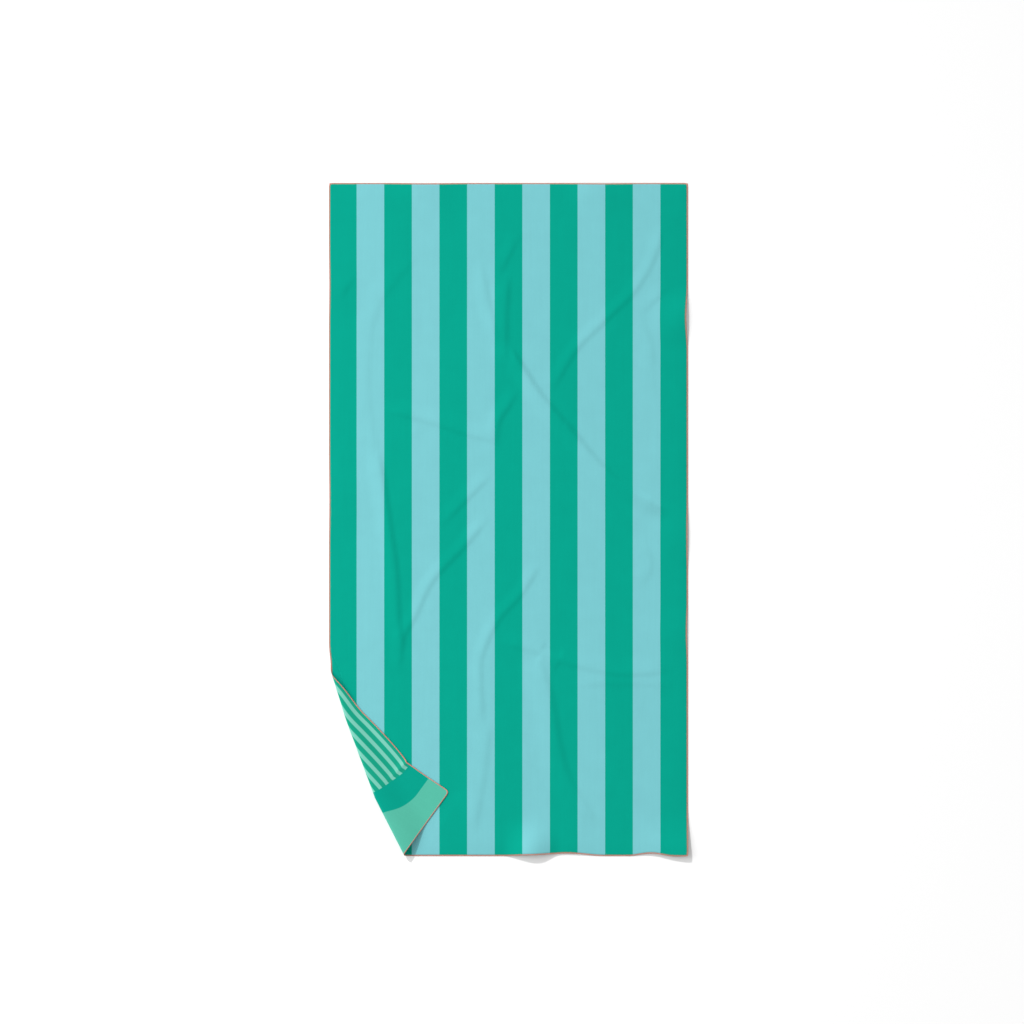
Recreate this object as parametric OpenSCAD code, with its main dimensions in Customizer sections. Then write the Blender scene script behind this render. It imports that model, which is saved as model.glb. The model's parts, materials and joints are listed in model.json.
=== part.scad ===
// Quick dry travel towel: one sheet of microfibre cloth with an overlocked
// edge, lying flat, with one corner turned over on a soft roll.
// The origin is under the middle of the towel, +Y runs along its length and
// +Z is up. The printed face is up, and the turned corner shows the reverse.

/* [Towel] */
// Finished width, across the stripes
towel_w = 800; // [500:10:1000]
// Finished length, along the stripes
towel_l = 1500; // [1000:10:2000]
// Thickness of the microfibre cloth
cloth_t = 0.8; // [0.6:0.1:1.5]

/* [Edging] */
// Width of the overlock stitches over each face
edging_w = 3; // [2:0.5:6]
// Thickness of the thread on each face and around the cut edge
thread_t = 0.15; // [0.1:0.05:0.25]

/* [Turned corner] */
// Length of the end edge that is turned over
turned_end = 170; // [120:5:300]
// Length of the side edge that is turned over
turned_side = 430; // [250:2:600]
// Height of the soft roll where the cloth turns over
roll_h = 14; // [8:1:20]
// Clearance of the hinge line from the cloth of the roll
hinge_clearance = 0.3; // [0.2:0.1:1]
// Air between the towel and the turned corner where it settles
settle_gap = 2; // [1:0.5:4]
// Distance from the fold over which the turned corner comes down
settle_l = 90; // [50:5:120]

/* [Hidden] */

$fn = 96;

face_green = [0.04, 0.64, 0.55];
reverse_green = [0.36, 0.74, 0.64];
thread_coral = [0.90, 0.58, 0.48];

// The cloth is squeezed thinner under the stitches
lip_t = cloth_t - 2 * thread_t;

// The fold line starts on the end edge, and this turns +Y onto it.
// In the fold's own frame X is the distance from the line, positive over
// the towel, and Y runs along the line.
fold_turn = atan2(turned_end, turned_side);
fold_len = norm([turned_end, turned_side]);
roll_r = roll_h / 2;
roll_mid_r = roll_r - cloth_t / 2;
// Length of cloth that the roll takes up
roll_arc = PI * roll_mid_r;
// The edges run around the roll at a slant
end_slant = roll_arc * turned_end / turned_side;
side_slant = roll_arc * turned_side / turned_end;
// Height of the turned corner's middle plane at the fold and where it rests
flap_high = roll_h - cloth_t / 2;
flap_low = cloth_t + settle_gap + cloth_t / 2;
flap_steps = 12;
// Longer than anything that it cuts
cutter = towel_w + towel_l;

// Places its children in the frame of the fold
module at_fold() {
    translate([-towel_w / 2 + turned_end, -towel_l / 2, 0])
        rotate([0, 0, fold_turn])
            children();
}

// The plane on the towel's side of the fold line
module towel_side_2d() {
    translate([-towel_w / 2 + turned_end, -towel_l / 2])
        rotate(fold_turn)
            translate([0, -cutter])
                square([cutter, 2 * cutter]);
}

// The whole towel, cut flat, less a margin all round
module towel_2d(margin = 0) {
    square([towel_w - 2 * margin, towel_l - 2 * margin], center = true);
}

// The strip under the stitches along the side at the given sign of X
module side_strip_2d(side) {
    translate([side * (towel_w - edging_w) / 2, 0])
        square([edging_w, towel_l], center = true);
}

// The strip along the end at the given sign of Y, between the side strips
module end_strip_2d(end) {
    translate([0, end * (towel_l - edging_w) / 2])
        square([towel_w - 2 * edging_w, edging_w], center = true);
}

// The part of a flat outline that lies flat on the ground
module laid(height, lift = 0) {
    translate([0, 0, lift])
        linear_extrude(height)
            intersection() {
                children();
                towel_side_2d();
            }
}

module laid_lip() {
    laid(lip_t, thread_t) towel_2d(thread_t);
}

// One run of thread on the flat part: a channel around the cloth's lip
module laid_edging() {
    difference() {
        laid(cloth_t) children();
        laid_lip();
    }
}

// Height of the turned corner's middle plane at a distance from the fold
function flap_z(x) =
    let (share = min(1, x / settle_l))
    flap_low + (flap_high - flap_low) * (1 + cos(180 * share)) / 2;

// Side view of the turned corner, as a band of the given thickness
module flap_profile_2d(thickness) {
    stations = concat(
        [for (i = [0 : flap_steps]) settle_l * i / flap_steps],
        [cutter]
    );
    polygon(concat(
        [for (x = stations) [x, flap_z(x) - thickness / 2]],
        [for (i = [len(stations) - 1 : -1 : 0])
            [stations[i], flap_z(stations[i]) + thickness / 2]]
    ));
}

// A flat outline beyond the fold, brought over the roll onto the towel
module turned_2d() {
    mirror([1, 0])
        translate([roll_arc, 0])
            rotate(-fold_turn)
                translate([towel_w / 2 - turned_end, towel_l / 2])
                    children();
}

// The part of a flat outline that is turned over, at its height
module turned(thickness) {
    at_fold()
        intersection() {
            translate([0, cutter / 2, 0])
                rotate([90, 0, 0])
                    linear_extrude(cutter)
                        flap_profile_2d(thickness);
            linear_extrude(2 * roll_h)
                intersection() {
                    turned_2d() children();
                    translate([0, -cutter])
                        square([cutter, 2 * cutter]);
                }
        }
}

module turned_lip() {
    turned(lip_t) towel_2d(thread_t);
}

// One run of thread on the turned corner
module turned_edging() {
    difference() {
        turned(cloth_t) children();
        turned_lip();
    }
}

// Half of the soft roll: side is -1 below the hinge line and 1 above it
module roll_half(side) {
    intersection() {
        at_fold() roll_wall(side);
        at_fold() roll_ends();
        linear_extrude(2 * roll_h) towel_2d();
    }
}

// Half of the roll's wall, over the whole fold line
module roll_wall(side) {
    translate([0, fold_len, roll_r])
        rotate([90, 0, 0])
            linear_extrude(fold_len)
                intersection() {
                    difference() {
                        circle(roll_r);
                        circle(roll_r - cloth_t);
                    }
                    translate([-roll_h / 2, side * (roll_h + hinge_clearance) / 2])
                        square(roll_h, center = true);
                }
}

// The room between the cloth's edges as they slant around the roll
module roll_ends() {
    translate([-roll_h, 0, 0])
        rotate([90, 0, 90])
            linear_extrude(2 * roll_h)
                polygon([
                    [0, 0],
                    [fold_len, 0],
                    [fold_len - side_slant, roll_h],
                    [end_slant, roll_h]
                ]);
}

module towel_field() {
    color(face_green) {
        laid(cloth_t) towel_2d(edging_w);
        laid_lip();
    }
}

module fold_lower_half() {
    color(reverse_green) roll_half(-1);
}

module fold_upper_half() {
    color(reverse_green) roll_half(1);
}

module top_edging() {
    color(thread_coral) laid_edging() end_strip_2d(1);
}

module right_edging() {
    color(thread_coral) laid_edging() side_strip_2d(1);
}

module bottom_edging() {
    color(thread_coral) laid_edging() end_strip_2d(-1);
}

module left_edging() {
    color(thread_coral) laid_edging() side_strip_2d(-1);
}

module turned_corner() {
    color(reverse_green) {
        turned(cloth_t) towel_2d(edging_w);
        turned_lip();
    }
}

module corner_side_edging() {
    color(thread_coral) turned_edging() side_strip_2d(-1);
}

module corner_end_edging() {
    color(thread_coral) turned_edging() end_strip_2d(-1);
}

towel_field();
fold_lower_half();
top_edging();
right_edging();
bottom_edging();
left_edging();
fold_upper_half();
turned_corner();
corner_side_edging();
corner_end_edging();
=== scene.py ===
"""Quick dry travel towel, laid out flat with one corner turned over."""

import json
from math import atan, cos, pi, radians, sin, tan

import bmesh
import bpy
import numpy as np
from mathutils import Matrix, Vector, noise


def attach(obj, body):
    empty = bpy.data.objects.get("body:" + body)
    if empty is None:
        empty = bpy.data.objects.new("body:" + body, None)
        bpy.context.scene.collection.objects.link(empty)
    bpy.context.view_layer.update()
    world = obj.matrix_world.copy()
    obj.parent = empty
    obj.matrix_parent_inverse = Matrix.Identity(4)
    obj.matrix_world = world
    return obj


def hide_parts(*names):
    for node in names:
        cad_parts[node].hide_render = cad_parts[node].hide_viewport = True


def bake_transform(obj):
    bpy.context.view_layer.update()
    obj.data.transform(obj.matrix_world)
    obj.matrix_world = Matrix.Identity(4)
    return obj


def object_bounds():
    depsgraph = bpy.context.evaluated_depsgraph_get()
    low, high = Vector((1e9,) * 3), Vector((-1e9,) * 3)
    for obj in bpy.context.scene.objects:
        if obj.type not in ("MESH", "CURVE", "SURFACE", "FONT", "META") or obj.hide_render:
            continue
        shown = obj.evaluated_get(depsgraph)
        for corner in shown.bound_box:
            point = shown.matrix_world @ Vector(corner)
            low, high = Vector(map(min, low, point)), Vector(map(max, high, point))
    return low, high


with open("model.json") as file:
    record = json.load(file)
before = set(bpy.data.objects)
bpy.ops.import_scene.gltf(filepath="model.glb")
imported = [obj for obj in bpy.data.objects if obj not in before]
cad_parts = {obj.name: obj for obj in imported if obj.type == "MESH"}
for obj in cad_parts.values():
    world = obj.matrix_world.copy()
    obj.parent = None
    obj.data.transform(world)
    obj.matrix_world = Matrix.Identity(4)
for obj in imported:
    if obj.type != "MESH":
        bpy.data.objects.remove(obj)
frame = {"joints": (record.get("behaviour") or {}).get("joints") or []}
cad_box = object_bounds()

# ---------------------------------------------------------------- sizes
MM = 0.001
LEFT, END = cad_box[0][0], cad_box[0][1]
WIDTH = cad_box[1][0] - LEFT
LENGTH = cad_box[1][1] - END
ROLL_TOP = cad_box[1][2]

CLOTH = 0.8 * MM
# The overlock squeezes the cloth's edge and its stitches stand around it
LIP = 0.5 * MM
LIP_WIDTH = 3 * MM
LIP_RISE = 0.15 * MM
CUT_INSET = 0.5 * MM
# The four corners are cut a little round, and the turned one is softer than the others
ROUND_FROM = 11.5 * MM
ROUND_CUT = 1.2 * MM
TURNED_CUT = 3 * MM
# The left edge is drawn in where the fold starts
DRAWN_IN = 4 * MM
DRAWN_AT = -334 * MM
DRAWN_HALF = 62 * MM
DRAWN_REACH = 55 * MM
FIELD_CELL = 5.2 * MM
CORNER_CELL = 1.7 * MM

# The hinge of the turned corner, from the frame. ACROSS points inwards, over the towel.
hinge = frame["joints"][0]
HINGE = np.array(hinge["pos_m"])
ALONG = -np.array(hinge["axis"])[:2]
ACROSS = np.array([ALONG[1], -ALONG[0]])
ROLL_OVERHANG = HINGE[2]
# The cloth is cut here into a field and a corner, where the corner covers it
SEAM_IN = 12 * MM
SEAM_AT = HINGE[:2] + ACROSS * (ROLL_OVERHANG + SEAM_IN)

# ---------------------------------------------------------------- how the corner is turned over
# The fold starts at the bottom end and bends a little twice on its way to the left side
FOOT = (-225.5 * MM, END)
LOWER_HEADING = radians(117.0)
UPPER_HEADING = radians(110.4)
HEAD_HEADING = radians(107.5)
BEND_AT = 147 * MM
HEAD_AT = 330 * MM
HEAD_EASE = 80 * MM
BEND_EASE = 20 * MM
BEND_SOFTNESS = radians(4)
# The roll is a little taller than it is wide
ROLL_OUT = 4.6 * MM
ROLL_UP = (ROLL_TOP - CLOTH) / 2
ROLL_ARM = (ROLL_OUT + ROLL_UP) / 2
CORNER_STRETCH = 1.085
# It is a little fuller between its bend and its head
FULLNESS = 0.08
FULLEST_AT = 230 * MM
FULL_OVER = 170 * MM
# It was laid over a little askew, up along the fold
CORNER_SKEW = 0.042
CORNER_REST = 1.9 * MM
CORNER_SETTLE = 75 * MM
# Shares of the roll's height and settling distance that are left at its head
HEAD_ROLL = 0.5
HEAD_SETTLE = 0.4
PRESSED_OVER = 400 * MM
# The bend's spare cloth stands up a little, in a wedge that starts away from the bend
PUCKER = 2.2 * MM
PUCKER_WEDGE = radians(17)
PUCKER_FROM = 50 * MM
PUCKER_EASE = 60 * MM
# The reverse print runs askew near the roll, where the cloth is pulled, most of all
# some way up from the bottom end
PRINT_PULL = 42 * MM
PULL_GROWS_OVER = 90 * MM
PULL_FADES_FROM = 100 * MM
PULL_FADES_OVER = 130 * MM
PULL_REACH = 80 * MM
PULL_REACH_EASE = 90 * MM
PULL_REACH_POWER = 1.4
# The towel is calm under the turned corner, whose outline has these three points on it
TIP_AT = (-134 * MM, -608 * MM)
HEAD_SIDE_AT = (-396 * MM, -338 * MM)
FOOT_SIDE_AT = (-224 * MM, -745 * MM)
CALM_MARGIN = 4 * MM
CALM_EASE = 30 * MM

# ---------------------------------------------------------------- how the rest lies
# Each soft crease: height in millimetres, how broad it is against the usual one, and its
# points from end to end, in millimetres
CREASES = [
    (0.6, 1.4, [(-197, 600), (-292, 478), (-316, 344), (-309, 222), (-281, 88)]),
    (2.3, 1.2, [(-295, 160), (-281, 88), (-270, 10), (-253, -112), (-247, -224), (-236, -300)]),
    (1.4, 0.9, [(-41, 10), (-97, -57), (-169, -135), (-208, -213), (-236, -268), (-244, -350)]),
    (1.3, 1.0, [(-64, 578), (-52, 511), (-36, 444), (-25, 378)]),
    (1.9, 1.3, [(-2, 560), (-8, 444), (-8, 325)]),
    (1.2, 1.0, [(30, 645), (0, 590), (-28, 530)]),
    (4.3, 1.2, [(-8, 399), (26, 344), (70, 277), (137, 199), (204, 121), (271, 66), (360, 15)]),
    (1.3, 0.9, [(343, 662), (326, 589), (282, 511), (215, 444), (154, 383), (115, 322), (95, 280)]),
    (1.7, 1.2, [(-290, 250), (-164, 216), (-97, 194), (-10, 170)]),
    (1.6, 1.0, [(25, 300), (0, 255), (-25, 211), (-30, 140)]),
    (1.2, 1.0, [(-30, 110), (-97, 43), (-158, -20)]),
    (1.3, 0.9, [(75, -90), (26, -168), (-19, -218), (-52, -280), (-64, -335), (-58, -469)]),
    (1.2, 1.8, [(-45, -440), (-58, -558), (-85, -714)]),
    (1.3, 1.3, [(-30, -270), (59, -291), (137, -319), (248, -341), (370, -335)]),
    (0.7, 1.3, [(137, -369), (248, -363), (382, -369)]),
    (2.2, 1.8, [(60, -300), (92, -402), (109, -502), (137, -592), (204, -690)]),
    (1.2, 1.3, [(200, -515), (260, -580), (310, -642)]),
    (0.9, 1.0, [(366, 530), (325, 490), (285, 450)]),
    (1.0, 1.2, [(-335, 560), (-365, 515), (-390, 475)]),
    (0.9, 1.2, [(285, 455), (315, 389), (315, 312)]),
    (0.9, 1.2, [(290, -25), (315, -101), (290, -156)]),
]
CREASE_STEP = 4 * MM
CREASE_TAPER = 55 * MM
# A crease rises gently on the side that faces left and drops sharply on the other
CREASE_GENTLE = 30 * MM
CREASE_SHARP = 9 * MM
CREASE_DROPS_TO = (0.94, -0.34)
SWELL = 1.1 * MM
SWELL_SIZE = 170 * MM
# The creases and the swell grow low towards the edges, as if they ended a little outside
RELIEF_PAST_EDGE = 10 * MM
RELIEF_EASE = 40 * MM

# Where the edges lift off the ground, in millimetres: centre along the edge, half length,
# lift and pull inwards
BOTTOM_WAVES = [(52, 66, 12, 3), (130, 85, 2, 6), (318, 52, 2, 6)]
RIGHT_WAVES = [(450, 75, 6, 4), (-35, 90, 3, 1), (-250, 70, 2, 2)]
LEFT_WAVES = [(520, 90, 2, 1), (40, 110, 2, 1)]
TOP_WAVES = [(-180, 90, 2, 1), (210, 90, 3, 1)]
WAVE_REACH = 110 * MM
WAVE_FADE_POWER = 1.5
# The free corner at the bottom right curls up
CURL = 9 * MM
CURL_REACH = 140 * MM

# ---------------------------------------------------------------- the print
STRIPES = 13
STRIPE_BLUR = 0.5 * MM
BAND = 55 * MM
BAND_BLUR = 0.6 * MM
PINS = 50
PIN_PALE = 7 * MM
PIN_MARGIN = 8 * MM
PIN_PITCH = (WIDTH - 2 * PIN_MARGIN - PIN_PALE) / (PINS - 1)
PIN_BLUR = 0.9 * MM
# How far the fibres carry the colours over the print's borders
FRAY = 1.1 * MM

# ---------------------------------------------------------------- the overlock thread
STITCH_PITCH = 1.4 * MM
LOOP_POINTS = 9
LOOP_OUT = 0.35 * MM
LOOP_IN = 1.9 * MM
LOOP_RISE = 0.36 * MM
THREAD_THIN = 0.18 * MM
THREAD_WIDE = 0.6 * MM
THREAD_SIDES = 4
# The loops reach in unevenly, by this share, quickly and slowly along the run
LOOP_WOBBLE = 0.05
WOBBLE_PER_LOOP = 2.4
WOBBLE_DRIFT = 0.013
NEEDLE_IN = 2.4 * MM
NEEDLE_LENGTH = 2.8 * MM
NEEDLE_WIDE = 0.2 * MM
NEEDLE_THIN = 0.16 * MM
NEEDLE_RISE = 0.12 * MM
# Each needle stitch lies on the cloth and dips into it at its end
NEEDLE_DIP = (1.0, 0.9, -0.4, 0.9)


# ---------------------------------------------------------------- helpers
def ease(share):
    share = np.clip(share, 0, 1)
    return share * share * (3 - 2 * share)


def hump(place, centre, half):
    return np.cos(np.clip((place - centre) / half, -1, 1) * pi / 2) ** 2


def unit(angle):
    return np.array([cos(angle), sin(angle)])


def seam_distance(flat):
    """How far a point of the flat cloth lies inwards of the seam."""
    return (flat - HINGE[:2]) @ ACROSS - ROLL_OVERHANG - SEAM_IN


def edge_distance(flat):
    """How far a point of the flat cloth lies from the nearest edge."""
    side = WIDTH / 2 - np.abs(flat[:, 0])
    end = LENGTH / 2 - np.abs(flat[:, 1])
    return np.minimum(side, end)


def lip_share(flat):
    """1 on the edge, under the overlock, and 0 on the open cloth."""
    return 1 - ease((edge_distance(flat) - LIP_WIDTH) / LIP_WIDTH)


def rounded(flat):
    """The flat cloth with its four corners rounded, and its left edge drawn in at the fold."""
    apart = np.array([WIDTH, LENGTH]) / 2 - np.abs(flat)
    share = np.clip(1 - apart / ROUND_FROM, 0, 1) ** 2
    turned = np.all(flat < 0, axis=1)
    cut = np.where(turned, TURNED_CUT, ROUND_CUT) * share[:, 0] * share[:, 1]
    near_left = 1 - ease((flat[:, 0] - LEFT) / DRAWN_REACH)
    drawn = DRAWN_IN * hump(flat[:, 1], DRAWN_AT, DRAWN_HALF) * near_left
    placed = flat - np.sign(flat) * cut[:, None]
    placed[:, 0] += drawn
    return placed


# ---------------------------------------------------------------- the cloth's shape
def smooth_path(points):
    """A curve through the points, as many close places."""
    points = np.array(points) * MM
    ends = [2 * points[0] - points[1], *points, 2 * points[-1] - points[-2]]
    path = []
    for before, here, there, after in zip(ends, ends[1:], ends[2:], ends[3:]):
        steps = max(2, int(np.linalg.norm(there - here) / CREASE_STEP))
        t = np.linspace(0, 1, steps, endpoint=False)[:, None]
        turn_here = (there - before) / 2
        turn_there = (after - here) / 2
        path.append(
            here * (2 * t**3 - 3 * t**2 + 1)
            + turn_here * (t**3 - 2 * t**2 + t)
            + there * (3 * t**2 - 2 * t**3)
            + turn_there * (t**3 - t**2)
        )
    return np.concatenate(path + [points[-1:]])


def crease_height(flat, height, breadth, points):
    """A ridge along the points, gentle on one flank and sharp on the other."""
    path = smooth_path(points)
    heading = np.gradient(path, axis=0)
    heading /= np.linalg.norm(heading, axis=1)[:, None]
    down = np.stack([heading[:, 1], -heading[:, 0]], axis=1)
    down *= np.where(down @ np.array(CREASE_DROPS_TO) < 0, -1, 1)[:, None]
    run = np.arange(len(path)) * CREASE_STEP
    taper = ease(run / CREASE_TAPER) * ease((run[-1] - run) / CREASE_TAPER)

    low = path.min(axis=0) - CREASE_GENTLE * breadth
    high = path.max(axis=0) + CREASE_GENTLE * breadth
    near = np.all((flat > low) & (flat < high), axis=1)
    raised = np.zeros(len(flat))
    if not near.any():
        return raised
    offset = flat[near][:, None, :] - path[None, :, :]
    gap = np.linalg.norm(offset, axis=2)
    nearest = gap.argmin(axis=1)
    rows = np.arange(len(nearest))
    side = np.sum(offset[rows, nearest] * down[nearest], axis=1)
    flank = np.where(side > 0, CREASE_SHARP, CREASE_GENTLE) * breadth
    share = 1 - ease(gap[rows, nearest] / flank)
    raised[near] = height * MM * share * taper[nearest]
    return raised


def swell(flat):
    """The broad, soft unevenness of cloth that was unfolded and laid down."""
    places = flat / SWELL_SIZE
    rough = [noise.noise(Vector((u, v * 0.6, 0.0))) for u, v in places]
    fine = [noise.noise(Vector((u * 3, v * 2, 5.0))) for u, v in places]
    return SWELL * np.clip(0.6 + np.array(rough) + 0.25 * np.array(fine), 0, 2)


def calm(flat):
    """0 where the cloth lies flat, under the turned corner and at the seam."""
    tip, head, foot = np.array(TIP_AT), np.array(HEAD_SIDE_AT), np.array(FOOT_SIDE_AT)
    upper = (head - tip) / np.linalg.norm(head - tip)
    lower = (tip - foot) / np.linalg.norm(tip - foot)
    above = (flat - tip) @ np.array([upper[1], -upper[0]])
    beyond = (flat - tip) @ np.array([lower[1], -lower[0]])
    clear = np.minimum(np.maximum(above, beyond), seam_distance(flat))
    return ease((clear - CALM_MARGIN) / CALM_EASE)


def edge_waves(flat, rest):
    """Lifts the edges off the ground in places, and draws them in."""
    x, y = flat[:, 0], flat[:, 1]
    edges = [
        (BOTTOM_WAVES, x, y - END, np.array([0, 1])),
        (TOP_WAVES, x, -END - y, np.array([0, -1])),
        (RIGHT_WAVES, y, -LEFT - x, np.array([-1, 0])),
        (LEFT_WAVES, y, x - LEFT, np.array([1, 0])),
    ]
    for waves, place, depth, inwards in edges:
        fade = (1 - ease(depth / WAVE_REACH)) ** WAVE_FADE_POWER
        for centre, half, lift, pull in waves:
            share = hump(place, centre * MM, half * MM) * fade
            rest[:, 2] += lift * MM * share
            rest[:, :2] += pull * MM * share[:, None] * inwards
    apart = np.linalg.norm(flat - np.array([-LEFT, END]), axis=1)
    rest[:, 2] += CURL * (1 - ease(apart / CURL_REACH)) ** 2


def lay_field(flat):
    """Where points of the flat cloth lie on the part that isn't turned over."""
    rest = np.zeros((len(flat), 3))
    rest[:, :2] = rounded(flat)
    relief = swell(flat)
    for height, breadth, points in CREASES:
        relief = relief + crease_height(flat, height, breadth, points)
    near_edge = ease((edge_distance(flat) + RELIEF_PAST_EDGE) / RELIEF_EASE)
    rest[:, 2] = CLOTH / 2 + relief * calm(flat) * near_edge
    edge_waves(flat, rest)
    rest[:, 2] += LIP_RISE * lip_share(flat)
    return rest


def straight_fold(flat, start, heading):
    """The flat cloth turned over one straight fold, with its soft roll."""
    along = unit(heading)
    inwards = np.array([along[1], -along[0]])
    depth = -(flat - start) @ inwards
    run = (flat - start) @ along
    # The roll is pressed flatter, and settles sooner, towards the head of the fold
    pressed = ease((flat[:, 1] - END) / PRESSED_OVER)
    roll_up = ROLL_UP * (1 - pressed * (1 - HEAD_ROLL))
    settle = CORNER_SETTLE * (1 - pressed * (1 - HEAD_SETTLE))
    arm = (ROLL_OUT + roll_up) / 2
    turn = np.clip(depth / arm, 0, pi)
    full = 1 + FULLNESS * hump(flat[:, 1] - END, FULLEST_AT, FULL_OVER)
    past = (depth - pi * arm) * CORNER_STRETCH * full
    on_roll = depth < pi * arm
    reach = np.where(depth <= 0, -depth, np.where(on_roll, -ROLL_OUT * np.sin(turn), past))
    settled = (1 + np.cos(pi * np.clip(past / settle, 0, 1))) / 2
    top = CLOTH / 2 + 2 * roll_up
    down = CORNER_REST + (top - CORNER_REST) * settled
    height = np.where(on_roll, CLOTH / 2 + roll_up * (1 - np.cos(turn)), down)
    run = run + CORNER_SKEW * np.maximum(depth, 0)
    place = start + run[:, None] * along + reach[:, None] * inwards
    return np.column_stack([place, height]), depth, reach


def soft_floor(value, floor, softness):
    return floor + softness * np.log1p(np.exp((value - floor) / softness))


def swung(flat, pivot, swing):
    """The flat cloth with each point swung about the pivot by its own angle."""
    offset = flat - pivot
    c, s = np.cos(swing), np.sin(swing)
    turned = np.stack(
        [c * offset[:, 0] - s * offset[:, 1], s * offset[:, 0] + c * offset[:, 1]], axis=1
    )
    return pivot + turned


def lay_corner(flat):
    """Where points of the flat cloth lie on the turned corner, and its print's pull."""
    flat = rounded(flat)
    bend = np.array(FOOT) + BEND_AT * unit(LOWER_HEADING)
    head = bend + (HEAD_AT - BEND_AT) * unit(UPPER_HEADING)
    # The bend leaves a wedge of spare cloth, which is taken up evenly about its middle
    offset = flat - bend
    bearing = np.arctan2(offset[:, 1], offset[:, 0]) % (2 * pi)
    half_wedge = LOWER_HEADING - UPPER_HEADING
    lower_bearing = soft_floor(bearing, pi + half_wedge, BEND_SOFTNESS)
    upper_bearing = -soft_floor(-bearing, half_wedge - pi, BEND_SOFTNESS)
    beyond = ease(-(offset @ np.array([sin(LOWER_HEADING), -cos(LOWER_HEADING)])) / BEND_EASE)
    lower_flat = swung(flat, bend, (lower_bearing - bearing) * beyond)
    upper_flat = swung(flat, bend, (upper_bearing - bearing) * beyond)

    lower, lower_depth, lower_reach = straight_fold(lower_flat, bend, LOWER_HEADING)
    upper, upper_depth, upper_reach = straight_fold(upper_flat, bend, UPPER_HEADING)
    top, top_depth, top_reach = straight_fold(flat, head, HEAD_HEADING)
    to_upper = ease((pi + half_wedge - bearing) / (2 * half_wedge))
    to_top = ease((flat[:, 1] - head[1] + HEAD_EASE / 2) / HEAD_EASE)

    def mixed(a, b, c):
        share = to_upper if a.ndim == 1 else to_upper[:, None]
        last = to_top if a.ndim == 1 else to_top[:, None]
        return (a * (1 - share) + b * share) * (1 - last) + c * last

    rest = mixed(lower, upper, top)
    depth = mixed(lower_depth, upper_depth, top_depth)
    reach = mixed(lower_reach, upper_reach, top_reach)
    far = np.linalg.norm(offset, axis=1)
    spare = hump(bearing, pi, PUCKER_WEDGE) * ease((far - PUCKER_FROM) / PUCKER_EASE)
    rest[:, 2] += PUCKER * spare + LIP_RISE * lip_share(flat)

    up = flat[:, 1] - END
    pulled = ease(up / PULL_GROWS_OVER) * (1 - ease((up - PULL_FADES_FROM) / PULL_FADES_OVER))
    fade = np.clip((PULL_REACH - reach) / PULL_REACH_EASE, 0, 1) ** PULL_REACH_POWER
    pull = PRINT_PULL * pulled * fade * ease(depth / (pi * ROLL_ARM / 2))
    return rest, pull


# ---------------------------------------------------------------- materials
def lin(r, g, b):
    """A colour given as it is seen, for the shader."""
    shares = (c / 255 for c in (r, g, b))
    linear = [((c + 0.055) / 1.055) ** 2.4 if c > 0.04 else c / 12.92 for c in shares]
    return (*linear, 1)


class Nodes:
    """Short names for building one material's node tree."""

    def __init__(self, name):
        self.material = bpy.data.materials.new(name)
        self.material.use_nodes = True
        self.tree = self.material.node_tree
        self.shader = self.tree.nodes["Principled BSDF"]

    def add(self, kind, inputs=(), **settings):
        made = self.tree.nodes.new(kind)
        for name, value in settings.items():
            setattr(made, name, value)
        for socket, value in dict(inputs).items():
            self.put(made, socket, value)
        return made

    def put(self, made, socket, value):
        if isinstance(value, bpy.types.NodeSocket):
            self.tree.links.new(value, made.inputs[socket])
        else:
            made.inputs[socket].default_value = value

    def math(self, operation, a, b=0.0, c=0.0):
        made = self.add("ShaderNodeMath", {0: a, 1: b, 2: c}, operation=operation)
        return made.outputs[0]

    def mix(self, share, a, b):
        made = self.add("ShaderNodeMix", data_type="RGBA")
        self.put(made, 0, share)
        self.put(made, 6, a)
        self.put(made, 7, b)
        return made.outputs[2]

    def noise(self, where, scale, detail=2.0, rough=0.5):
        made = self.add(
            "ShaderNodeTexNoise",
            {"Vector": where, "Scale": scale, "Detail": detail, "Roughness": rough},
        )
        return made.outputs["Fac"]

    def step(self, value, edge, softness):
        """0 below the edge and 1 above it, over a soft width."""
        span = self.math("SUBTRACT", value, edge - softness / 2)
        share = self.math("DIVIDE", span, softness)
        return self.math("SMOOTH_MIN", self.math("MAXIMUM", share, 0.0), 1.0, 0.1)

    def set(self, **values):
        for name, value in values.items():
            self.put(self.shader, name.replace("_", " "), value)


def cloth_places(nodes):
    """The place on the flat cloth in metres, with the print's slightly fibrous borders."""
    uv = nodes.add("ShaderNodeUVMap", uv_map="flat").outputs[0]
    split = nodes.add("ShaderNodeSeparateXYZ", {0: uv})
    fray = nodes.noise(uv, 1600, 2.0)
    drift = nodes.math("MULTIPLY", nodes.math("SUBTRACT", fray, 0.5), FRAY)
    across = nodes.math("ADD", split.outputs[0], drift)
    along = nodes.math("ADD", split.outputs[1], drift)
    return uv, across, along


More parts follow.
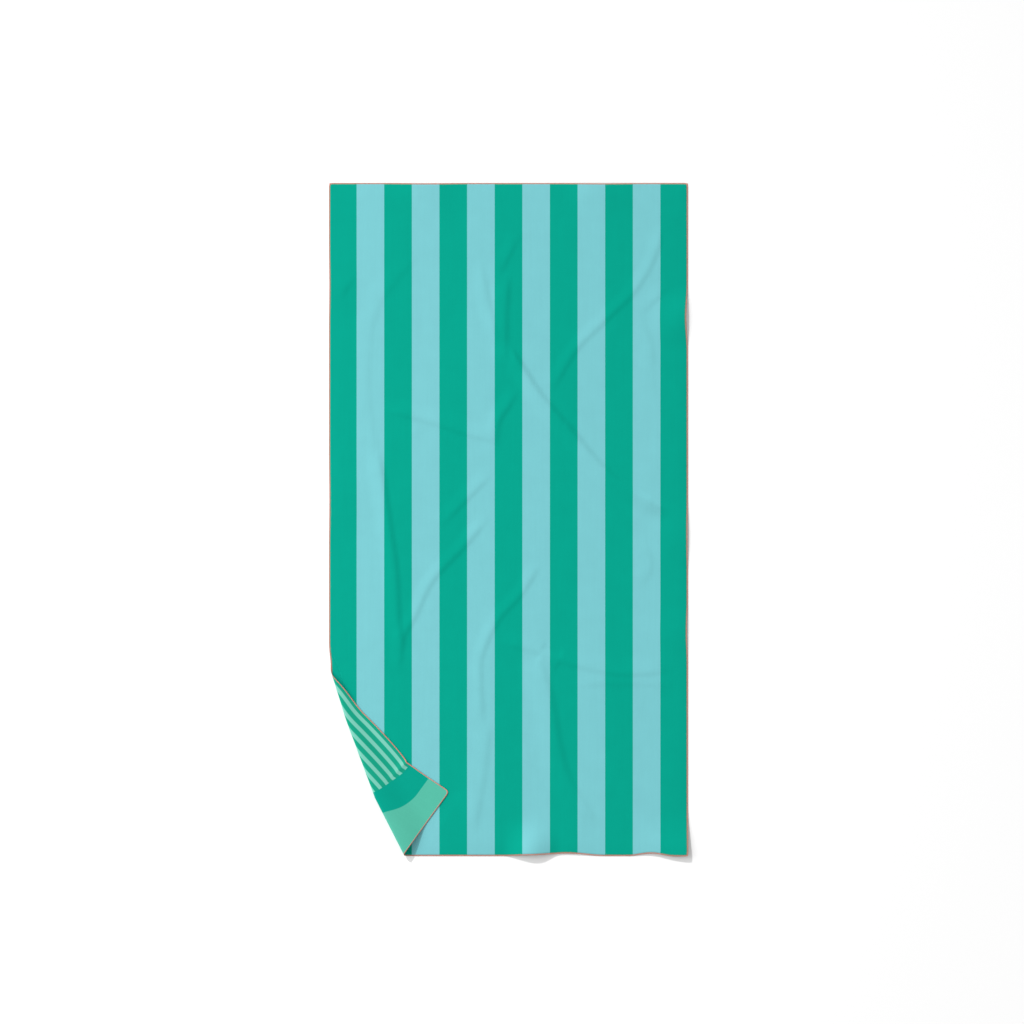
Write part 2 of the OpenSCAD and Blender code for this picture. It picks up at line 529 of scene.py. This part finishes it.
def suede(nodes, uv, print_colour):
    """Brushed microfibre: a short nap, cloudy where it was stroked, over the print."""
    stroked = nodes.noise(uv, 28, 3.0, 0.55)
    stretched = nodes.add("ShaderNodeMapping", {"Vector": uv, "Scale": (190, 7, 1)})
    streaks = nodes.noise(stretched.outputs[0], 1.0, 3.0, 0.6)
    nap = nodes.noise(uv, 420, 3.0, 0.6)
    fibre = nodes.noise(uv, 2400, 2.0, 0.7)
    shade = nodes.math("MULTIPLY_ADD", stroked, 0.07, 0.935)
    shade = nodes.math("MULTIPLY_ADD", streaks, 0.06, shade)
    shade = nodes.math("MULTIPLY_ADD", nap, 0.09, nodes.math("SUBTRACT", shade, 0.045))
    shade = nodes.math("MULTIPLY_ADD", fibre, 0.16, nodes.math("SUBTRACT", shade, 0.08))
    tone = nodes.add("ShaderNodeHueSaturation", {"Value": shade, "Color": print_colour})
    height = nodes.math("MULTIPLY_ADD", fibre, 0.6, nodes.math("MULTIPLY", nap, 0.8))
    bump = nodes.add(
        "ShaderNodeBump", {"Height": height, "Strength": 0.5, "Distance": 0.25 * MM}
    )
    nodes.set(
        Base_Color=tone.outputs[0],
        Normal=bump.outputs[0],
        Roughness=nodes.math("MULTIPLY_ADD", nap, 0.12, 0.82),
        Specular_IOR_Level=0.04,
        Sheen_Weight=0.04,
        Sheen_Roughness=0.45,
    )


def printed_face():
    """Thirteen broad stripes along the towel."""
    nodes = Nodes("printed_face")
    uv, across, _ = cloth_places(nodes)
    turn = nodes.math("MULTIPLY", across, STRIPES / WIDTH / 2)
    saw = nodes.math("FRACT", turn)
    stripe = WIDTH / STRIPES
    blue = nodes.step(saw, 0.5, STRIPE_BLUR / stripe / 2)
    colour = nodes.mix(blue, FACE_GREEN, FACE_BLUE)
    suede(nodes, uv, colour)
    return nodes.material


def printed_reverse():
    """Two bands at each end, and pin stripes between them."""
    nodes = Nodes("printed_reverse")
    uv, across, along = cloth_places(nodes)
    from_end = nodes.math("MINIMUM", along, nodes.math("SUBTRACT", LENGTH, along))
    # Each pin stripe is measured from its own middle
    middle = nodes.math("SUBTRACT", across, PIN_MARGIN + PIN_PALE / 2)
    off = nodes.math("PINGPONG", middle, PIN_PITCH / 2)
    pin = nodes.math("SUBTRACT", 1.0, nodes.step(off, PIN_PALE / 2, PIN_BLUR))
    pins = nodes.mix(pin, PIN_GREEN, PIN_MINT)
    inner = nodes.mix(nodes.step(from_end, 2 * BAND, BAND_BLUR), BAND_GREEN, pins)
    colour = nodes.mix(nodes.step(from_end, BAND, BAND_BLUR), END_MINT, inner)
    suede(nodes, uv, colour)
    return nodes.material


def edging_thread():
    """Matt polyester thread, with the twist of its plies."""
    nodes = Nodes("edging_thread")
    place = nodes.add("ShaderNodeTexCoord").outputs["Object"]
    uneven = nodes.noise(place, 60, 2.0)
    ply = nodes.noise(place, 5200, 2.0, 0.6)
    shade = nodes.math("MULTIPLY_ADD", ply, 0.35, nodes.math("MULTIPLY_ADD", uneven, 0.16, 0.745))
    tone = nodes.add("ShaderNodeHueSaturation", {"Value": shade, "Color": CORAL})
    bump = nodes.add("ShaderNodeBump", {"Height": ply, "Strength": 0.45, "Distance": 0.08 * MM})
    nodes.set(
        Base_Color=tone.outputs[0],
        Normal=bump.outputs[0],
        Roughness=nodes.math("MULTIPLY_ADD", ply, 0.15, 0.55),
        Specular_IOR_Level=0.35,
        Sheen_Weight=0.15,
    )
    return nodes.material


def cut_fibres():
    """The raw edge of the cloth, under the stitches."""
    nodes = Nodes("cut_fibres")
    place = nodes.add("ShaderNodeTexCoord").outputs["Object"]
    shade = nodes.math("MULTIPLY_ADD", nodes.noise(place, 3000, 2.0), 0.3, 0.85)
    tone = nodes.add("ShaderNodeHueSaturation", {"Value": shade, "Color": FACE_GREEN})
    nodes.set(Base_Color=tone.outputs[0], Roughness=0.9, Specular_IOR_Level=0.15)
    return nodes.material


FACE_GREEN = lin(1, 150, 129)
FACE_BLUE = lin(112, 184, 190)
PIN_MINT = lin(114, 188, 170)
PIN_GREEN = lin(20, 150, 122)
BAND_GREEN = lin(2, 148, 128)
END_MINT = lin(80, 174, 152)
CORAL = lin(200, 131, 113)

FACE = printed_face()
REVERSE = printed_reverse()
THREAD = edging_thread()
FIBRES = cut_fibres()


# ---------------------------------------------------------------- the cloth
def vertices_of(mesh):
    places = np.empty(len(mesh.vertices) * 3)
    mesh.vertices.foreach_get("co", places)
    return places.reshape(-1, 3)


def set_vertices(mesh, places):
    mesh.vertices.foreach_set("co", places.ravel())
    mesh.update()


def cloth_grid(name, low, high, cell, keep_outside):
    """A flat grid of cloth, cut at the seam."""
    size = np.array(high) - np.array(low)
    middle = (np.array(high) + np.array(low)) / 2
    bpy.ops.object.select_all(action="DESELECT")
    bpy.ops.mesh.primitive_grid_add(
        x_subdivisions=round(size[0] / cell),
        y_subdivisions=round(size[1] / cell),
        size=1,
        location=(*middle, 0),
    )
    cloth = bpy.context.object
    cloth.name = name
    cloth.data.name = name
    cloth.scale = (*size, 1)
    bpy.ops.object.transform_apply(location=True, rotation=False, scale=True)
    bpy.ops.object.mode_set(mode="EDIT")
    bpy.ops.mesh.select_all(action="SELECT")
    bpy.ops.mesh.bisect(
        plane_co=(*SEAM_AT, 0),
        plane_no=(*ACROSS, 0),
        clear_inner=not keep_outside,
        clear_outer=keep_outside,
    )
    bpy.ops.object.mode_set(mode="OBJECT")
    return cloth


def print_on(cloth, flat):
    """Gives the cloth its flat place in metres as a UV map, for the print."""
    while cloth.data.uv_layers:
        cloth.data.uv_layers.remove(cloth.data.uv_layers[0])
    layer = cloth.data.uv_layers.new(name="flat")
    corners = np.empty(len(cloth.data.loops), dtype=int)
    cloth.data.loops.foreach_get("vertex_index", corners)
    places = flat[corners] - np.array([LEFT, END])
    layer.data.foreach_set("uv", places.ravel())


def thicken(cloth, flat):
    """Gives the cloth its thickness, less under the stitches."""
    group = cloth.vertex_groups.new(name="thickness")
    full = 1 - lip_share(flat) * (1 - LIP / CLOTH)
    for index, share in enumerate(full):
        group.add([index], share, "REPLACE")
    solid = cloth.modifiers.new("thickness", "SOLIDIFY")
    solid.thickness = CLOTH
    solid.offset = 0
    solid.vertex_group = "thickness"
    solid.material_offset = 1
    solid.material_offset_rim = 2
    for material in (FACE, REVERSE, FIBRES):
        cloth.data.materials.append(material)
    bpy.context.view_layer.objects.active = cloth
    bpy.ops.object.modifier_apply(modifier="thickness")
    cloth.vertex_groups.clear()
    cloth.data.polygons.foreach_set("use_smooth", [True] * len(cloth.data.polygons))
    cloth.data.update()


def make_field():
    inner = CUT_INSET
    cloth = cloth_grid(
        "cloth_field",
        (LEFT + inner, END + inner),
        (-LEFT - inner, -END - inner),
        FIELD_CELL,
        keep_outside=False,
    )
    flat = vertices_of(cloth.data)[:, :2].copy()
    print_on(cloth, flat)
    set_vertices(cloth.data, lay_field(flat))
    thicken(cloth, flat)
    return cloth


def make_corner():
    inner = CUT_INSET
    reach_x = SEAM_AT[0] + (SEAM_AT[1] - END) * ACROSS[1] / ACROSS[0]
    reach_y = SEAM_AT[1] + (SEAM_AT[0] - LEFT) * ACROSS[0] / ACROSS[1]
    cloth = cloth_grid(
        "cloth_corner",
        (LEFT + inner, END + inner),
        (reach_x + inner, reach_y + inner),
        CORNER_CELL,
        keep_outside=True,
    )
    flat = vertices_of(cloth.data)[:, :2].copy()
    rest, pull = lay_corner(flat)
    printed = flat.copy()
    printed[:, 1] -= pull
    print_on(cloth, printed)
    set_vertices(cloth.data, rest)
    thicken(cloth, flat)
    return cloth, (reach_x, reach_y)


# ---------------------------------------------------------------- the overlock
def unit_rows(vectors):
    return vectors / np.linalg.norm(vectors, axis=1)[:, None]


def edge_frames(start, end, inwards, count, lay):
    """Places along a flat edge, and the cloth's directions there: inwards and up."""
    share = np.linspace(0, 1, count)[:, None]
    flat = np.array(start) * (1 - share) + np.array(end) * share
    flat = flat + np.array(inwards) * CUT_INSET
    rim = lay(flat)
    within = lay(flat + np.array(inwards) * LIP_WIDTH)
    ahead = unit_rows(np.gradient(rim, axis=0))
    across = within - rim
    across = unit_rows(across - ahead * np.sum(across * ahead, axis=1)[:, None])
    return rim, across, np.cross(ahead, across)


def tube(places, wide, thin, sides):
    """Rings of points about a path, and the faces between them."""
    angles = np.arange(sides) / sides * 2 * pi
    rings = (
        places[:, None, :]
        + np.cos(angles)[None, :, None] * wide[:, None, :]
        + np.sin(angles)[None, :, None] * thin[:, None, :]
    )
    count = len(places)
    ring, side = np.meshgrid(np.arange(count - 1), np.arange(sides), indexing="ij")
    first = (ring * sides + side).ravel()
    second = (ring * sides + (side + 1) % sides).ravel()
    faces = np.stack([first, second, second + sides, first + sides], axis=1)
    return rings.reshape(-1, 3), faces


def overlock(name, start, end, inwards, lay):
    """One run of stitches: thread wound around the edge, and the needle thread inside it."""
    run = np.linalg.norm(np.array(end) - np.array(start))
    turns = round(run / STITCH_PITCH)
    count = turns * LOOP_POINTS + 1
    rim, across, up = edge_frames(start, end, inwards, count, lay)
    point = np.arange(count)
    phase = point / LOOP_POINTS * 2 * pi
    middle = (LOOP_IN - LOOP_OUT) / 2
    half = (LOOP_IN + LOOP_OUT) / 2
    quick, slow = np.sin(point / LOOP_POINTS * WOBBLE_PER_LOOP), np.sin(point * WOBBLE_DRIFT)
    wobble = 1 + LOOP_WOBBLE * quick * slow
    path = (
        rim
        + across * (middle - half * wobble * np.cos(phase))[:, None]
        + up * (LOOP_RISE * np.sin(phase))[:, None]
    )
    ahead = unit_rows(np.gradient(path, axis=0))
    outwards = -across * np.cos(phase)[:, None] + up * (np.sin(phase) * half / LOOP_RISE)[:, None]
    outwards = unit_rows(outwards - ahead * np.sum(outwards * ahead, axis=1)[:, None])
    sideways = np.cross(ahead, outwards)
    wound, wound_faces = tube(
        path, sideways * THREAD_WIDE, outwards * THREAD_THIN, THREAD_SIDES
    )

    count = round(run / NEEDLE_LENGTH) * len(NEEDLE_DIP)
    rim, across, up = edge_frames(start, end, inwards, count, lay)
    dip = np.array(NEEDLE_DIP)[np.arange(count) % len(NEEDLE_DIP)]
    line = rim + across * NEEDLE_IN + up * (LIP / 2 + NEEDLE_RISE * dip)[:, None]
    ahead = unit_rows(np.gradient(line, axis=0))
    needle, needle_faces = tube(
        line, across * NEEDLE_WIDE, np.cross(ahead, across) * NEEDLE_THIN, THREAD_SIDES
    )

    mesh = bpy.data.meshes.new(name)
    places = np.concatenate([wound, needle])
    faces = np.concatenate([wound_faces, needle_faces + len(wound)])
    mesh.from_pydata(places.tolist(), [], faces.tolist())
    piece = bpy.data.objects.new(name, mesh)
    bpy.context.scene.collection.objects.link(piece)
    mesh.materials.append(THREAD)
    shell = bmesh.new()
    shell.from_mesh(mesh)
    open_ends = [edge for edge in shell.edges if edge.is_boundary]
    bmesh.ops.holes_fill(shell, edges=open_ends, sides=THREAD_SIDES)
    bmesh.ops.recalc_face_normals(shell, faces=shell.faces)
    shell.to_mesh(mesh)
    shell.free()
    mesh.polygons.foreach_set("use_smooth", [True] * len(mesh.polygons))
    return piece


# ---------------------------------------------------------------- the towel
def corner_places(flat):
    return lay_corner(flat)[0]


field = make_field()
corner, (seam_x, seam_y) = make_corner()
RIGHT, TOP = -LEFT, -END
laid_runs = {
    "top_overlock": ((RIGHT, TOP), (LEFT, TOP), (0, -1), "top_edging"),
    "right_overlock": ((RIGHT, END), (RIGHT, TOP), (-1, 0), "right_edging"),
    "bottom_overlock": ((seam_x, END), (RIGHT, END), (0, 1), "bottom_edging"),
    "left_overlock": ((LEFT, TOP), (LEFT, seam_y), (1, 0), "left_edging"),
}
turned_runs = {
    "corner_side_overlock": ((LEFT, seam_y), (LEFT, END), (1, 0), "corner_side_edging"),
    "corner_end_overlock": ((LEFT, END), (seam_x, END), (0, 1), "corner_end_edging"),
}

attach(field, "towel")
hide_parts("towel_field")
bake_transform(corner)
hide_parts("fold_lower_half", "fold_upper_half", "turned_corner")

for name, (start, end, inwards, node) in laid_runs.items():
    piece = overlock(name, start, end, inwards, lay_field)
    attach(piece, "towel")
    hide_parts(node)
for name, (start, end, inwards, node) in turned_runs.items():
    piece = overlock(name, start, end, inwards, corner_places)
    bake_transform(piece)
    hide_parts(node)

# ---------------------------------------------------------------- floor, light and camera
FLOOR_SIZE = 14.0
# The key light stands to the upper left, fairly low, and a softbox on the left fills
KEY_AZIMUTH = radians(123)
KEY_HEIGHT = radians(28)
KEY_POWER = 2.63
KEY_SPREAD = radians(2.5)
SOFTBOX_AT = (-3.2, 0.3, 1.9)
SOFTBOX_SIZE = (2.4, 2.0)
SOFTBOX_POWER = 72
ROOM_LIGHT = 0.64
# The camera looks straight down from high up
LENS = 100
SENSOR = 36
VIEW_WIDTH = 2.282
VIEW_MIDDLE = (0.0078, 0.0167)

bpy.ops.object.select_all(action="DESELECT")
bpy.ops.mesh.primitive_plane_add(size=FLOOR_SIZE, location=(0, 0, 0))
floor = bpy.context.object
floor.name = "studio_floor"
paper = Nodes("studio_paper")
paper.set(Base_Color=(0.86, 0.86, 0.86, 1), Roughness=0.9, Specular_IOR_Level=0.1)
floor.data.materials.append(paper.material)


def aim(obj, target=(0, 0, 0)):
    obj.rotation_euler = (Vector(target) - obj.location).to_track_quat("-Z", "Y").to_euler()


sun = bpy.data.objects.new("key_light", bpy.data.lights.new("key_light", "SUN"))
sun.data.energy = KEY_POWER
sun.data.angle = KEY_SPREAD
sun.location = (
    cos(KEY_AZIMUTH) * cos(KEY_HEIGHT),
    sin(KEY_AZIMUTH) * cos(KEY_HEIGHT),
    sin(KEY_HEIGHT),
)
aim(sun)
softbox = bpy.data.objects.new("softbox", bpy.data.lights.new("softbox", "AREA"))
softbox.data.shape = "RECTANGLE"
softbox.data.size, softbox.data.size_y = SOFTBOX_SIZE
softbox.data.energy = SOFTBOX_POWER
softbox.location = SOFTBOX_AT
aim(softbox)
for light in (sun, softbox):
    bpy.context.scene.collection.objects.link(light)

world = bpy.data.worlds.new("studio")
world.use_nodes = True
background = world.node_tree.nodes["Background"]
background.inputs["Color"].default_value = (1, 1, 1, 1)
background.inputs["Strength"].default_value = ROOM_LIGHT
bpy.context.scene.world = world
bpy.context.scene.view_settings.view_transform = "Standard"

camera = bpy.data.objects.new("camera", bpy.data.cameras.new("camera"))
camera.data.lens = LENS
camera.data.sensor_width = SENSOR
camera.location = (*VIEW_MIDDLE, VIEW_WIDTH / 2 / tan(atan(SENSOR / 2 / LENS)))
camera.data.clip_end = 60
bpy.context.scene.collection.objects.link(camera)
bpy.context.scene.camera = camera
